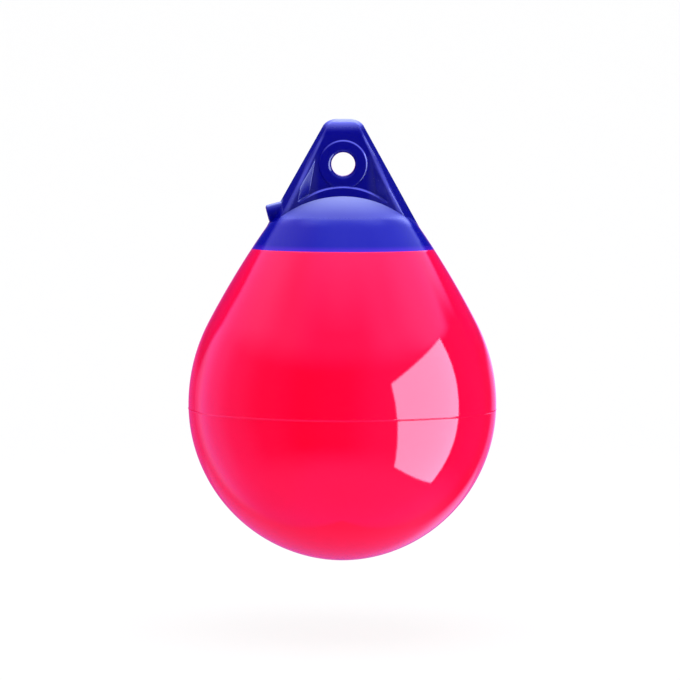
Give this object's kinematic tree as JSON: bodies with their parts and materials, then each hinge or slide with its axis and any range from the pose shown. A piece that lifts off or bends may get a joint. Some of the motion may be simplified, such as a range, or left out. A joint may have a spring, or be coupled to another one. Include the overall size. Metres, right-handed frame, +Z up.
{
  "type": "inflatable mooring buoy",
  "caption": "Teardrop inflatable vinyl mooring buoy with a solid moulded rope hold, a round rope eye between ribs, and a screw-closed inflation valve on its shoulder.",
  "frame": {"origin": "centre of the rope eye, on the mid-plane of the rope hold", "axes": "+Z up the buoy's axis of revolution, +Y along the rope eye from front to back, +X to the right seen from the front, so the valve is on the -X shoulder"},
  "size_m": [0.2038, 0.2038, 0.291],
  "materials": {
    "red_vinyl": "glossy fluorescent red rotomoulded vinyl",
    "blue_vinyl": "semi-gloss royal blue moulded vinyl",
    "white_nylon": "satin white moulded nylon",
    "black_rubber": "smooth black rubber"
  },
  "bodies": {
    "root": {"bladder": "red_vinyl", "head": "blue_vinyl", "valve_body": "white_nylon"},
    "plug_seal": {"valve_seal": "black_rubber"},
    "plug": {"valve_screw": "white_nylon"}
  },
  "joints": [
    {"name": "valve_unscrew", "type": "slide", "parent": "root", "child": "plug_seal", "axis": [-0.9659, 0, -0.2588], "range_m": [0, 0.0075]},
    {"name": "valve_turn", "type": "hinge", "parent": "plug_seal", "child": "plug", "pos_m": [-0.04973, 0, -0.0335], "axis": [-0.9659, 0, -0.2588], "range_deg": [0, 1800]}
  ],
  "couplings": [
    {"joint": "valve_turn", "follows": "valve_unscrew", "rad_per_m": 4188.8}
  ]
}
